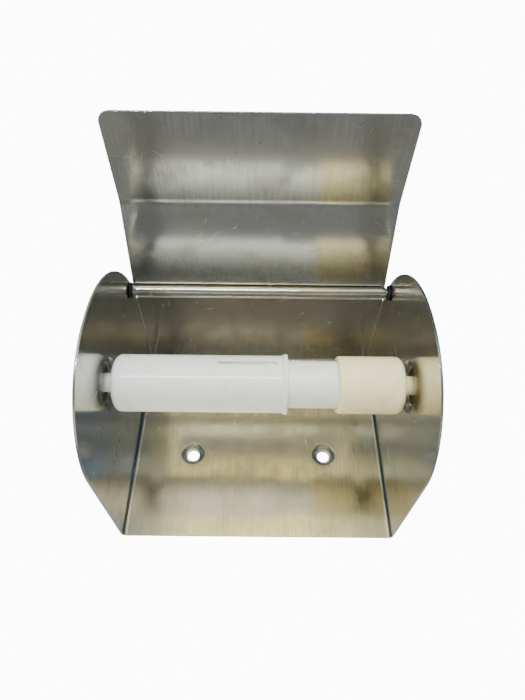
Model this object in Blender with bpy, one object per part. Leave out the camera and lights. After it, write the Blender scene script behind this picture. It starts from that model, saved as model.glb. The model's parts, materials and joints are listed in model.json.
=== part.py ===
"""Wall-mounted toilet paper holder: a folded sheet housing, a hinged hood and a sprung roll spindle.

Lengths are written in millimetres and turned into metres by mm(). The origin lies on the rear face of
the back plate, midway between the two screw holes: +X right, +Y into the wall, +Z up. The hood is
modelled raised and the spindle is seated in the two cheeks.
"""

import math

import bmesh
import bpy
from mathutils import Matrix, Vector

# Housing: one folded sheet
SHEET = 1.0  # sheet thickness
BAY_WIDTH = 130.0  # between the inner faces of the cheeks
BODY_HEIGHT = 107.6  # bottom edge to the upper face of the top panel
BODY_DEPTH = 108.5  # wall face to the nose of the cheeks
BEND_RADIUS = 1.5  # inside radius of every fold
CHEEK_UPPER_RADIUS = 60.6  # front edge of a cheek, up to the top edge
CHEEK_LOWER_RADIUS = 44.0  # front edge of a cheek, down to the bottom edge
TOP_SETBACK = 53.0  # nose of the cheeks back to the front edge of the top panel
SEAM_GAP = 0.4  # open seam between the top panel and each cheek
RELIEF_DEPTH = 1.6  # notch ahead of the top fold, at each corner

# Screw holes, pressed into dimples
SCREW_HEIGHT = 43.6  # above the bottom edge
SCREW_PITCH = 70.0
SCREW_HOLE_RADIUS = 3.1
DIMPLE_RADIUS = 6.4
DIMPLE_DEPTH = 2.5

# Hinge
HINGE_SETBACK = 41.3  # behind the nose of the cheeks
HINGE_DROP = 7.3  # below the upper face of the top panel
HINGE_PIN_RADIUS = 1.5
HINGE_HEAD_OVERLAP = 1.4  # how far the heads stand out past the pin all round
HINGE_HEAD_HEIGHT = 0.8
HINGE_WASHER_RADIUS = 4.0
HINGE_WASHER_THICKNESS = 0.8

# Hood: one sheet with its rear edge curled round the pin and a shallow bend halfway
HOOD_SHEET = 0.9
HOOD_LEFT_PLAY = 0.3  # barrel to left washer
HOOD_RIGHT_PLAY = 1.2  # barrel to right washer
BARREL_PLAY = 0.5  # radial, between the barrel and the pin
BARREL_TURN = 300.0  # degrees that the curl wraps
HOOD_RISE = 14.2  # degrees above level where the sheet leaves the barrel
HOOD_REAR_LENGTH = 42.7  # flat, from the barrel to the bend
HOOD_BEND_RADIUS = 22.0
HOOD_BEND_ANGLE = 15.7
HOOD_FRONT_LENGTH = 39.4  # flat, from the bend to the front edge
HOOD_CORNER_RADIUS = 5.0

# Spindle
SPINDLE_REACH = 67.0  # axis to the wall face
SPINDLE_HEIGHT = 45.2  # axis above the bottom edge
SPINDLE_END_GAP = 2.95  # end faces of the spindle to the cheeks
PIN_RADIUS = 4.2
PIN_TIP_ROUNDING = 1.0
DISH_RADIUS = 10.15  # recess pressed out of each cheek for a pin
DISH_DEPTH = 3.6
SLEEVE_WALL = 1.8
END_WALL = 2.0
END_ROUNDING = 3.0
BEAD_HEIGHT = 0.7
BEAD_LENGTH = 2.2
TUBE_RADIUS = 10.35
TUBE_WALL = 1.5
TUBE_SHOWN = 21.2  # bare stretch between the sleeve and the cap
TUBE_ENGAGED = 23.1  # stretch inside the sleeve
TUBE_IN_CAP = 14.0
CAP_LENGTH = 28.5
CAP_WALL = 1.95
CAP_LIP = 1.5  # rounding of the cap's open end
SLIT_BEHIND_TUBE = 7.0  # slit past the inner end of the tube
SLIT_LENGTH = 25.8
SLIT_WIDTH = 1.8
SLIT_ANGLE = 13.0  # degrees above straight out from the wall
CATCH_LENGTH = 6.4
CATCH_END_GAP = 0.4  # from the slit's end nearest the sleeve's mouth
SPRING_WIRE_RADIUS = 0.5
SPRING_RADIUS = 7.0
SPRING_TURNS = 11

# Clearances
FIT_GAP = 0.3  # between faces that touch on the real object
SLIDE_GAP = 0.35  # radial, between the tube and the sleeve

# Fineness of the facets, in steps
ROUND_STEPS = 48  # a full turn
BEND_STEPS = 5  # a fold of the sheet
ARC_STEPS = 20  # each quarter of a cheek's outline
ROUNDING_STEPS = 5  # a rounded edge
CURL_STEPS = 28  # the hood's curl
HOOD_STEPS = 8  # the hood's shallow bend
CORNER_STEPS = 8  # a front corner of the hood
SPRING_STEPS = 14  # one turn of the spring
SMOOTH_BELOW = 35.0  # degrees between facets that are shaded as one surface
MERGE_DISTANCE = 0.001  # points closer than this are one


def mm(*values):
    """Millimetres to metres: one value gives a number, several give a vector."""
    if len(values) == 1:
        return values[0] / 1000
    return Vector(values) / 1000


# Places worked out from the sizes above
HALF_BAY = BAY_WIDTH / 2
BOTTOM_Z = -SCREW_HEIGHT
TOP_Z = BOTTOM_Z + BODY_HEIGHT
NOSE_Y = -BODY_DEPTH
HINGE_Y = NOSE_Y + HINGE_SETBACK
HINGE_Z = TOP_Z - HINGE_DROP
HINGE_HOLE_RADIUS = HINGE_PIN_RADIUS + FIT_GAP
BARREL_BORE_RADIUS = HINGE_PIN_RADIUS + BARREL_PLAY
SPINDLE_Y = -SPINDLE_REACH
SPINDLE_Z = BOTTOM_Z + SPINDLE_HEIGHT
WASHER_OUTER_X = HALF_BAY - FIT_GAP
WASHER_INNER_X = WASHER_OUTER_X - HINGE_WASHER_THICKNESS
HOOD_LEFT_X = -WASHER_INNER_X + HOOD_LEFT_PLAY
HOOD_RIGHT_X = WASHER_INNER_X - HOOD_RIGHT_PLAY
SPINDLE_END_X = HALF_BAY - SPINDLE_END_GAP
PIN_TIP_X = HALF_BAY + DISH_DEPTH - FIT_GAP
CAP_LIP_X = SPINDLE_END_X - CAP_LENGTH
SLEEVE_MOUTH_X = CAP_LIP_X - TUBE_SHOWN
TUBE_END_X = SLEEVE_MOUTH_X - TUBE_ENGAGED
SLEEVE_BORE_RADIUS = TUBE_RADIUS + SLIDE_GAP
SLEEVE_RADIUS = SLEEVE_BORE_RADIUS + SLEEVE_WALL
CAP_BORE_RADIUS = TUBE_RADIUS + FIT_GAP
CAP_RADIUS = CAP_BORE_RADIUS + CAP_WALL
SLIT_START_X = TUBE_END_X - SLIT_BEHIND_TUBE


# ---------------------------------------------------------------- building blocks


def finish_surface(name, colour, roughness, metallic):
    """One Principled material."""
    material = bpy.data.materials.new(name)
    material.use_nodes = True
    shader = material.node_tree.nodes["Principled BSDF"]
    shader.inputs["Base Color"].default_value = (*colour, 1)
    shader.inputs["Roughness"].default_value = roughness
    shader.inputs["Metallic"].default_value = metallic
    return material


def mesh_object(name, shape, material=None):
    """Turns a bmesh into an object, shaded smooth across its shallow edges."""
    bmesh.ops.recalc_face_normals(shape, faces=shape.faces)
    mesh = bpy.data.meshes.new(name)
    shape.to_mesh(mesh)
    shape.free()
    mesh.shade_smooth()
    mesh.set_sharp_from_angle(angle=math.radians(SMOOTH_BELOW))
    if material:
        mesh.materials.append(material)
    made = bpy.data.objects.new(name, mesh)
    bpy.context.scene.collection.objects.link(made)
    return made


def shape_tool(made):
    """Marks an object as a tool for Booleans, which the model itself leaves out."""
    made.hide_render = True
    made.display_type = "WIRE"
    return made


def combine(target, tool, operation):
    """Adds a Boolean of target with tool."""
    modifier = target.modifiers.new(tool.name, "BOOLEAN")
    modifier.object = tool
    modifier.operation = operation
    modifier.solver = "EXACT"


def arc(centre, radius, start, end, steps):
    """Points of an arc about centre, angles in degrees, both ends included."""
    points = []
    for step in range(steps + 1):
        angle = math.radians(start + (end - start) * step / steps)
        points.append((centre[0] + radius * math.cos(angle), centre[1] + radius * math.sin(angle)))
    return points


def turned(name, profile, y, z, material):
    """A solid turned about the line along X through (y, z).

    profile is a closed outline of (x, radius) points; one that starts and ends on the axis is solid.
    """
    shape = bmesh.new()
    ring = [shape.verts.new(mm(x, 0, radius)) for x, radius in profile]
    closed = profile[0][1] > 0
    pairs = list(zip(ring, ring[1:] + ring[:1])) if closed else list(zip(ring, ring[1:]))
    edges = [shape.edges.new(pair) for pair in pairs]
    bmesh.ops.spin(
        shape,
        geom=ring + edges,
        cent=(0, 0, 0),
        axis=(1, 0, 0),
        angle=2 * math.pi,
        steps=ROUND_STEPS,
        use_merge=True,
    )
    bmesh.ops.remove_doubles(shape, verts=shape.verts, dist=mm(MERGE_DISTANCE))
    bmesh.ops.translate(shape, verts=shape.verts, vec=mm(0, y, z))
    return mesh_object(name, shape, material)


def extruded(name, outline, along, material=None):
    """A solid from a closed flat outline of (x, y, z) points, carried along a vector."""
    shape = bmesh.new()
    face = shape.faces.new([shape.verts.new(mm(*point)) for point in outline])
    run = bmesh.ops.extrude_face_region(shape, geom=[face])
    moved = [item for item in run["geom"] if isinstance(item, bmesh.types.BMVert)]
    bmesh.ops.translate(shape, verts=moved, vec=mm(*along))
    return mesh_object(name, shape, material)


def block(name, low, high, turn, about):
    """A box between two corners, turned by turn degrees about the X line through about = (y, z)."""
    shape = bmesh.new()
    bmesh.ops.create_cube(shape, size=1)
    middle = [(a + b) / 2 for a, b in zip(low, high)]
    size = [b - a for a, b in zip(low, high)]
    pivot = Matrix.Translation(mm(0, *about))
    place = pivot @ Matrix.Rotation(math.radians(turn), 4, "X") @ pivot.inverted()
    scaled = Matrix.Diagonal((*mm(*size), 1))
    bmesh.ops.transform(shape, verts=shape.verts, matrix=place @ Matrix.Translation(mm(*middle)) @ scaled)
    return mesh_object(name, shape)


# ---------------------------------------------------------------- housing


def cheek_outline():
    """The (y, z) outline of a cheek past its fold: along the top, round the nose, along the bottom."""
    lower_radius = min(CHEEK_LOWER_RADIUS, BODY_HEIGHT - CHEEK_UPPER_RADIUS)
    upper_centre = (NOSE_Y + CHEEK_UPPER_RADIUS, TOP_Z - CHEEK_UPPER_RADIUS)
    lower_centre = (NOSE_Y + lower_radius, BOTTOM_Z + lower_radius)
    upper = arc(upper_centre, CHEEK_UPPER_RADIUS, 90, 180, ARC_STEPS)
    return upper + arc(lower_centre, lower_radius, 180, 270, ARC_STEPS)


def closed_edges(shape, loop):
    """The edges of a closed loop of vertices, made where they don't exist yet."""
    pairs = zip(loop, loop[1:] + loop[:1])
    return [shape.edges.get(pair) or shape.edges.new(pair) for pair in pairs]


def pressed_rings(shape, place, profile):
    """Rings round an axis, joined by faces. place(offset, radius, turn) gives a point in millimetres.

    profile lists (offset along the axis, radius) from the mouth inwards; returns the rings.
    """
    rings = []
    for offset, radius in profile:
        turns = [2 * math.pi * step / ROUND_STEPS for step in range(ROUND_STEPS)]
        rings.append([shape.verts.new(mm(*place(offset, radius, turn))) for turn in turns])
    for outer, inner in zip(rings, rings[1:]):
        for index in range(ROUND_STEPS):
            after = (index + 1) % ROUND_STEPS
            shape.faces.new((outer[index], outer[after], inner[after], inner[index]))
    return rings


def fill_flat(shape, outline, holes):
    """Fills a flat outline, leaving round holes open."""
    edges = closed_edges(shape, outline)
    for hole in holes:
        edges += closed_edges(shape, hole)
    bmesh.ops.triangle_fill(shape, edges=edges, use_beauty=True)


def dish_profile():
    """Middle line of the recess pressed out of a cheek, as (offset, radius) from its mouth to its floor."""
    rounding = BEND_RADIUS
    wall = DISH_RADIUS + SHEET / 2
    mouth = arc((rounding, wall + rounding), rounding, 180, 270, ROUNDING_STEPS)
    corner = arc((DISH_DEPTH - rounding, wall - rounding), rounding, 90, 0, ROUNDING_STEPS)
    return mouth + corner


def dimple_profile():
    """Middle line of a screw dimple, as (offset, radius) from its rim to the edge of the hole."""
    seat = SCREW_HOLE_RADIUS + SHEET
    return [(0, DIMPLE_RADIUS), (DIMPLE_DEPTH, seat), (DIMPLE_DEPTH, SCREW_HOLE_RADIUS)]


def add_cheek(shape, side, fold_edge):
    """One cheek: its outline joined to the fold, the dish for a spindle pin and the hinge hole."""
    cheek_x = HALF_BAY + SHEET / 2

    def about(centre_y, centre_z):
        return lambda offset, radius, turn: (
            side * (cheek_x + offset),
            centre_y + radius * math.cos(turn),
            centre_z + radius * math.sin(turn),
        )

    outline = [shape.verts.new(mm(side * cheek_x, y, z)) for y, z in cheek_outline()]
    dish = pressed_rings(shape, about(SPINDLE_Y, SPINDLE_Z), dish_profile())
    shape.faces.new(dish[-1])
    hole = pressed_rings(shape, about(HINGE_Y, HINGE_Z), [(0, HINGE_HOLE_RADIUS)])
    fill_flat(shape, fold_edge + outline, [dish[0], hole[0]])


def folded_sheet():
    """The middle surface of the folded and pressed blank, given its thickness by a Solidify modifier."""
    fold = BEND_RADIUS + SHEET / 2
    plate_y = -SHEET / 2
    fold_x = HALF_BAY + SHEET / 2 - fold
    fold_y = plate_y - fold
    top_fold_z = TOP_Z - SHEET / 2 - fold
    panel_x = HALF_BAY - SEAM_GAP
    flange_x = fold_x - SEAM_GAP
    front_y = NOSE_Y + TOP_SETBACK
    levels = (BOTTOM_Z, top_fold_z, TOP_Z)
    turns = [math.radians(90 * step / BEND_STEPS) for step in range(BEND_STEPS + 1)]

    shape = bmesh.new()
    plate = {}
    for side in (-1, 1):
        columns = []
        for turn in turns:
            x = side * (fold_x + fold * math.sin(turn))
            y = plate_y - fold * (1 - math.cos(turn))
            columns.append([shape.verts.new(mm(x, y, z)) for z in levels])
        for near, far in zip(columns, columns[1:]):
            for row in (0, 1):
                shape.faces.new((near[row], far[row], far[row + 1], near[row + 1]))
        add_cheek(shape, side, columns[-1])
        plate[side] = columns[0]

    flange = []
    for turn in turns:
        y = plate_y - fold * (1 - math.cos(turn))
        z = top_fold_z + fold * math.sin(turn)
        flange.append([shape.verts.new(mm(x, y, z)) for x in (-flange_x, flange_x)])
    for near, far in zip(flange, flange[1:]):
        shape.faces.new((near[0], near[1], far[1], far[0]))

    dimples = []
    for centre_x in (-SCREW_PITCH / 2, SCREW_PITCH / 2):
        rings = pressed_rings(
            shape,
            lambda offset, radius, turn: (
                centre_x + radius * math.cos(turn),
                plate_y + offset,
                radius * math.sin(turn),
            ),
            dimple_profile(),
        )
        dimples.append(rings[0])
    left, right = plate[-1], plate[1]
    fill_flat(shape, [left[0], right[0], right[1], flange[0][1], flange[0][0], left[1]], dimples)

    panel = [(flange_x, fold_y - RELIEF_DEPTH), (panel_x, fold_y - RELIEF_DEPTH), (panel_x, front_y)]
    panel += [(-x, y) for x, y in reversed(panel)]
    corners = [shape.verts.new(mm(x, y, TOP_Z - SHEET / 2)) for x, y in panel]
    shape.faces.new([flange[-1][0], flange[-1][1]] + corners)
    return shape


def build_housing(material):
    """The folded sheet, with its full thickness."""
    housing = mesh_object("housing", folded_sheet(), material)
    thicken = housing.modifiers.new("sheet", "SOLIDIFY")
    thicken.thickness = mm(SHEET)
    thicken.offset = 0
    thicken.use_even_offset = True
    return housing


# ---------------------------------------------------------------- hinge and hood


def build_hinge(steel, plastic):
    """The pin with a peened head outside each cheek, and a washer inside each cheek."""
    face = HALF_BAY + SHEET + FIT_GAP
    rim = HINGE_PIN_RADIUS + HINGE_HEAD_OVERLAP
    crown = face + HINGE_HEAD_HEIGHT
    head = [(face, HINGE_PIN_RADIUS), (face, rim), (crown - HINGE_HEAD_HEIGHT / 2, rim)]
    head += [(crown, HINGE_PIN_RADIUS), (crown, 0)]
    profile = [(-x, r) for x, r in reversed(head)] + head
    turned("hinge_pin", profile, HINGE_Y, HINGE_Z, steel)
    bore = HINGE_HOLE_RADIUS
    for label, side in (("left", -1), ("right", 1)):
        near, far = side * WASHER_INNER_X, side * WASHER_OUTER_X
        ring = [(near, bore), (near, HINGE_WASHER_RADIUS), (far, HINGE_WASHER_RADIUS), (far, bore)]
        turned(f"hinge_washer_{label}", ring, HINGE_Y, HINGE_Z, plastic)


def hood_centreline():
    """Middle line of the hood's section from the free end of the curl to the front edge, in (y, z)."""
    curl_radius = BARREL_BORE_RADIUS + HOOD_SHEET / 2
    leave = 90 - HOOD_RISE
    curl = arc((HINGE_Y, HINGE_Z), curl_radius, leave - BARREL_TURN, leave, CURL_STEPS)
    rise = math.radians(HOOD_RISE)
    start_y = curl[-1][0] - HOOD_REAR_LENGTH * math.cos(rise)
    start_z = curl[-1][1] + HOOD_REAR_LENGTH * math.sin(rise)
    centre = (start_y - HOOD_BEND_RADIUS * math.sin(rise), start_z - HOOD_BEND_RADIUS * math.cos(rise))
    bend = arc(centre, HOOD_BEND_RADIUS, leave, leave + HOOD_BEND_ANGLE, HOOD_STEPS)
    fall = math.radians(HOOD_BEND_ANGLE - HOOD_RISE)
    front_y = bend[-1][0] - HOOD_FRONT_LENGTH * math.cos(fall)
    front_z = bend[-1][1] - HOOD_FRONT_LENGTH * math.sin(fall)
    return curl + bend + [(front_y, front_z)]


def thick_line(points, thickness):
    """A closed outline that runs half a thickness to each side of a line of points."""
    left, right = [], []
    for index, point in enumerate(points):
        before = points[max(index - 1, 0)]
        after = points[min(index + 1, len(points) - 1)]
        along = Vector((after[0] - before[0], after[1] - before[1])).normalized()
        across = Vector((-along.y, along.x)) * thickness / 2
        left.append((point[0] + across.x, point[1] + across.y))
        right.append((point[0] - across.x, point[1] - across.y))
    return left + right[::-1]


def hood_plan(front, rear, margin):
    """The hood's outline from above, with rounded front corners; its other sides stand off by margin."""
    radius = HOOD_CORNER_RADIUS
    low_x, high_x = HOOD_LEFT_X - margin, HOOD_RIGHT_X + margin
    plan = [(high_x, front + radius), (high_x, rear + margin), (low_x, rear + margin), (low_x, front + radius)]
    plan += arc((HOOD_LEFT_X + radius, front + radius), radius, 180, 270, CORNER_STEPS)
    plan += arc((HOOD_RIGHT_X - radius, front + radius), radius, 270, 360, CORNER_STEPS)
    return plan


def build_hood(material):
    """The hood: the thick line carried across the width, less what lies outside its plan."""
    line = hood_centreline()
    section = [(HOOD_LEFT_X, y, z) for y, z in thick_line(line, HOOD_SHEET)]
    hood = extruded("hood", section, (HOOD_RIGHT_X - HOOD_LEFT_X, 0, 0), material)
    barrel_radius = BARREL_BORE_RADIUS + HOOD_SHEET
    margin = 2 * HOOD_SHEET
    front = line[-1][0]
    low_z = HINGE_Z - barrel_radius - margin
    plan = [(x, y, low_z) for x, y in hood_plan(front, HINGE_Y + barrel_radius, margin)]
    tool = extruded("tool_hood_plan", plan, (0, 0, HOOD_REAR_LENGTH))
    combine(hood, shape_tool(tool), "INTERSECT")
    return hood


# ---------------------------------------------------------------- spindle


def pin_end(end_x, radius):
    """Profile of a rounded end wall with its pin, from the rim inwards to the pin's tip on the axis."""
    corner = arc((end_x - END_ROUNDING, radius - END_ROUNDING), END_ROUNDING, 90, 0, ROUNDING_STEPS)
    tip_centre = (PIN_TIP_X - PIN_TIP_ROUNDING, PIN_RADIUS - PIN_TIP_ROUNDING)
    tip = arc(tip_centre, PIN_TIP_ROUNDING, 90, 0, ROUNDING_STEPS)
    return corner + [(end_x, PIN_RADIUS)] + tip + [(PIN_TIP_X, 0)]


def build_sleeve(material):
    """The outer sleeve: closed at its pin end, beaded at its mouth, with a slit for the tube's catch."""
    inside = SPINDLE_END_X - END_WALL
    outer = [(-x, r) for x, r in reversed(pin_end(SPINDLE_END_X, SLEEVE_RADIUS))]
    bead = SLEEVE_RADIUS + BEAD_HEIGHT
    bead_start = SLEEVE_MOUTH_X - BEAD_LENGTH
    edge = BEAD_HEIGHT / 2
    mouth = [(bead_start, SLEEVE_RADIUS), (bead_start + edge, bead), (SLEEVE_MOUTH_X - edge, bead)]
    mouth += [(SLEEVE_MOUTH_X, bead - edge), (SLEEVE_MOUTH_X, SLEEVE_BORE_RADIUS)]
    profile = outer + mouth + [(-inside, SLEEVE_BORE_RADIUS), (-inside, 0)]
    sleeve = turned("spindle_sleeve", profile, SPINDLE_Y, SPINDLE_Z, material)
    slit = block(
        "tool_slit",
        (SLIT_START_X, SPINDLE_Y - SLEEVE_RADIUS - BEAD_HEIGHT, SPINDLE_Z - SLIT_WIDTH / 2),
        (SLIT_START_X + SLIT_LENGTH, SPINDLE_Y - SLEEVE_BORE_RADIUS + SLIT_WIDTH, SPINDLE_Z + SLIT_WIDTH / 2),
        -SLIT_ANGLE,
        (SPINDLE_Y, SPINDLE_Z),
    )
    combine(sleeve, shape_tool(slit), "DIFFERENCE")
    return sleeve


def build_tube(material):
    """The inner tube: closed at its inner end, open towards the cap, with the catch in the slit."""
    bore = TUBE_RADIUS - TUBE_WALL
    open_x = CAP_LIP_X + TUBE_IN_CAP
    profile = [(TUBE_END_X, 0), (TUBE_END_X, TUBE_RADIUS), (open_x, TUBE_RADIUS), (open_x, bore)]
    profile += [(TUBE_END_X + TUBE_WALL, bore), (TUBE_END_X + TUBE_WALL, 0)]
    tube = turned("spindle_tube", profile, SPINDLE_Y, SPINDLE_Z, material)
    catch_x = SLIT_START_X + SLIT_LENGTH - CATCH_END_GAP - CATCH_LENGTH
    half = SLIT_WIDTH / 2 - FIT_GAP
    catch = block(
        "tool_catch",
        (catch_x, SPINDLE_Y - SLEEVE_RADIUS + SLIDE_GAP, SPINDLE_Z - half),
        (catch_x + CATCH_LENGTH, SPINDLE_Y - TUBE_RADIUS + TUBE_WALL / 2, SPINDLE_Z + half),
        -SLIT_ANGLE,
        (SPINDLE_Y, SPINDLE_Z),
    )
    combine(tube, shape_tool(catch), "UNION")
    return tube


def build_cap(material):
    """The end cap on the tube, with a rounded lip and the other pin."""
    inside = SPINDLE_END_X - END_WALL
    lip = arc((CAP_LIP_X + CAP_LIP, CAP_RADIUS - CAP_LIP), CAP_LIP, 180, 90, ROUNDING_STEPS)
    profile = [(inside, 0), (inside, CAP_BORE_RADIUS), (CAP_LIP_X, CAP_BORE_RADIUS)] + lip
    profile += pin_end(SPINDLE_END_X, CAP_RADIUS)
    return turned("spindle_cap", profile, SPINDLE_Y, SPINDLE_Z, material)


def build_spring(material):
    """The compression spring between the sleeve's end wall and the tube's closed end."""
    start = -SPINDLE_END_X + END_WALL + FIT_GAP + SPRING_WIRE_RADIUS
    end = TUBE_END_X - FIT_GAP - SPRING_WIRE_RADIUS
    count = SPRING_TURNS * SPRING_STEPS
    curve = bpy.data.curves.new("spindle_spring", "CURVE")
    curve.dimensions = "3D"
    curve.bevel_depth = mm(SPRING_WIRE_RADIUS)
    curve.bevel_resolution = 2
    curve.use_fill_caps = True
    line = curve.splines.new("POLY")
    line.points.add(count)
    for index in range(count + 1):
        turn = 2 * math.pi * index / SPRING_STEPS
        x = start + (end - start) * index / count
        y = SPINDLE_Y + SPRING_RADIUS * math.cos(turn)
        z = SPINDLE_Z + SPRING_RADIUS * math.sin(turn)
        line.points[index].co = (*mm(x, y, z), 1)
    curve.materials.append(material)
    spring = bpy.data.objects.new("spindle_spring", curve)
    bpy.context.scene.collection.objects.link(spring)
    return spring


def build():
    """Clears the scene and builds the holder."""
    for old in list(bpy.data.objects):
        bpy.data.objects.remove(old, do_unlink=True)
    steel = finish_surface("satin_steel", (0.52, 0.5, 0.45), 0.3, 1)
    bright_steel = finish_surface("bright_steel", (0.62, 0.6, 0.55), 0.2, 1)
    white = finish_surface("white_plastic", (0.83, 0.85, 0.84), 0.25, 0)
    ivory = finish_surface("ivory_plastic", (0.82, 0.78, 0.62), 0.3, 0)
    dark = finish_surface("dark_washer", (0.03, 0.03, 0.03), 0.6, 0)
    build_housing(steel)
    build_hinge(bright_steel, dark)
    build_hood(steel)
    build_sleeve(white)
    build_tube(white)
    build_cap(ivory)
    build_spring(bright_steel)


build()
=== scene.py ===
"""Looks of a wall-mounted toilet paper holder: folded steel housing, hinged hood and plastic spindle.

Every piece is worked out with numpy in metres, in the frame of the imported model, and rides on one of its
bodies: +X right, +Y into the wall, +Z up, with the origin on the wall face between the screw holes.
"""

import json
import logging
import math
from dataclasses import dataclass
from enum import Enum
from typing import Any, Sequence

import bmesh
import bpy
import numpy as np
from mathutils import Matrix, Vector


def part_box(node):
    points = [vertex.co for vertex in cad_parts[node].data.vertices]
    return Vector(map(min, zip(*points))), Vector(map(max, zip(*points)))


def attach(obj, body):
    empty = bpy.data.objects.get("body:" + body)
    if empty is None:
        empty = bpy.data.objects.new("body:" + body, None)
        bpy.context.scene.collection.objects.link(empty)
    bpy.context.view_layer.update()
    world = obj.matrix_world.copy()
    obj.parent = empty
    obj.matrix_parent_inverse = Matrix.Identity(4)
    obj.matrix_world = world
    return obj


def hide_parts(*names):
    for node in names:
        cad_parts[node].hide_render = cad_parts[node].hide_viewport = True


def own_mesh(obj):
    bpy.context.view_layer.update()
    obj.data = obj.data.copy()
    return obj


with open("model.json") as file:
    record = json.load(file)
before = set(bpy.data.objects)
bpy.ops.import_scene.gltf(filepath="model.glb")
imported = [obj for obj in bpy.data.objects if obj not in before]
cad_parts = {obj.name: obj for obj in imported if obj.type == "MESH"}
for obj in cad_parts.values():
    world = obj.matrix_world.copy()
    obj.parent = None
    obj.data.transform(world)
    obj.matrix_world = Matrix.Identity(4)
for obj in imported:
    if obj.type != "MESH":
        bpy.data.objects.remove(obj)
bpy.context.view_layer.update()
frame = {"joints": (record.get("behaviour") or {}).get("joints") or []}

LOG = logging.getLogger("holder")
MM = 0.001
WELD = 1e-7

Array = np.ndarray
Node = bpy.types.Node
Socket = bpy.types.NodeSocket
Material = bpy.types.Material
Object = bpy.types.Object
Tree = bpy.types.NodeTree
Colour = tuple[float, float, float, float] | Socket
Gap = tuple[int, int, int, int]
Stops = tuple[tuple[float, str], ...]


class Body(Enum):
    """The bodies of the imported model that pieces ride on."""

    HOLDER = "holder"
    HOOD = "hood"
    OUTER = "spindle_outer"
    INNER = "spindle_inner"


class Side(Enum):
    """The two sides of the holder, as the sign of their X."""

    LEFT = -1
    RIGHT = 1


# ---- frame


def joint_axis_point(name: str) -> tuple[float, float]:
    """Where a joint's axis along X crosses the plane X = 0.

    Args:
        name: The joint's name.

    Returns:
        The (y, z) of the axis, in metres.
    """
    joint = next(entry for entry in frame["joints"] if entry["name"] == name)
    return joint["pos_m"][1], joint["pos_m"][2]


HINGE = joint_axis_point("hood_hinge")
SPINDLE = joint_axis_point("spindle_spin")


# ---- surfaces


@dataclass
class Surface:
    """A mesh as arrays.

    Attributes:
        points: Vertices, as an (n, 3) array in metres.
        quads: Vertex numbers, as an (m, 4) array.
    """

    points: Array
    quads: Array


def lattice(points: Array, around: bool = False, gaps: Sequence[Gap] = ()) -> Surface:
    """Joins neighbouring points of a grid with quads.

    Args:
        points: Grid of points, as a (rows, columns, 3) array.
        around: Whether the last column joins the first.
        gaps: Cells left open, as (first row, last row, first column, last column).

    Returns:
        The surface, with points kept in reading order.
    """
    rows, columns = points.shape[:2]
    number = np.arange(rows * columns).reshape(rows, columns)
    if around:
        number = np.hstack([number, number[:, :1]])
    quads = np.stack([number[:-1, :-1], number[:-1, 1:], number[1:, 1:], number[1:, :-1]], axis=-1)
    keep = np.ones(quads.shape[:2], bool)
    for top, bottom, left, right in gaps:
        keep[top:bottom, left:right] = False
    return Surface(points.reshape(-1, 3), quads[keep])


def cell_rim(points: Array, gap: Gap) -> Array:
    """The points round a gap in a grid, in order.

    Args:
        points: Grid of points, as a (rows, columns, 3) array.
        gap: The gap, as (first row, last row, first column, last column).

    Returns:
        The loop of points, as a (k, 3) array.
    """
    top, bottom, left, right = gap
    near, far = points[top, left:right], points[bottom, right:left:-1]
    return np.concatenate([near, points[top:bottom, right], far, points[bottom:top:-1, left]])


def welded(*surfaces: Surface) -> Surface:
    """Makes one surface from several.

    Args:
        *surfaces: The surfaces.

    Returns:
        The surface, with points closer than a tenth of a micrometre made one.
    """
    starts = np.cumsum([0] + [len(surface.points) for surface in surfaces[:-1]])
    points = np.vstack([surface.points for surface in surfaces])
    quads = np.vstack([surface.quads + start for surface, start in zip(surfaces, starts)])
    _, first, place = np.unique(np.round(points / WELD), axis=0, return_index=True, return_inverse=True)
    return Surface(points[first], place.reshape(-1)[quads])


def faces_of(surface: Surface) -> list[list[int]]:
    """Turns quads into lists.

    Args:
        surface: The surface.

    Returns:
        The faces as vertex numbers, with those that close on a pole as triangles.
    """
    same = surface.quads == np.roll(surface.quads, -1, axis=1)
    whole = surface.quads[~same.any(axis=1)].tolist()
    for corner in range(4):
        folded = surface.quads[same[:, corner] & (same.sum(axis=1) == 1)]
        whole += np.delete(folded, corner, axis=1).tolist()
    return whole


def spread(x: Array | float, y: Array | float, z: Array | float) -> Array:
    """Points from three coordinates that are spread over each other's shape."""
    return np.stack(np.broadcast_arrays(x, y, z), axis=-1)


def made_object(name: str, surface: Surface) -> Object:
    """Puts a surface into the scene as a smooth mesh whose faces point outwards.

    Args:
        name: The piece's name.
        surface: Its points and faces.

    Returns:
        The new object, at the origin.
    """
    mesh = bpy.data.meshes.new(name)
    mesh.from_pydata(surface.points.tolist(), [], faces_of(surface))
    shape = bmesh.new()
    shape.from_mesh(mesh)
    bmesh.ops.recalc_face_normals(shape, faces=shape.faces)
    shape.to_mesh(mesh)
    shape.free()
    mesh.shade_smooth()
    made = bpy.data.objects.new(name, mesh)
    bpy.context.scene.collection.objects.link(made)
    return made


def pairs(first: Array | float, second: Array | float) -> Array:
    """Points of two coordinates that are spread over each other's shape."""
    return np.stack(np.broadcast_arrays(first, second), axis=-1)


def arc(centre: tuple[float, float], radius: float, start: float, end: float, count: int) -> Array:
    """Points evenly spaced along an arc: centre plus radius times the cosine and sine of the angle.

    Args:
        centre: The arc's centre.
        radius: Its radius.
        start: First angle, in degrees.
        end: Last angle, in degrees.
        count: Number of points.

    Returns:
        The points, as a (count, 2) array.
    """
    angle = np.radians(np.linspace(start, end, count))
    return pairs(centre[0] + radius * np.cos(angle), centre[1] + radius * np.sin(angle))


def stretch(start: float, end: float, count: int) -> Array:
    """Evenly spaced numbers after start, up to and including end."""
    return np.linspace(start, end, count + 1)[1:]


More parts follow.
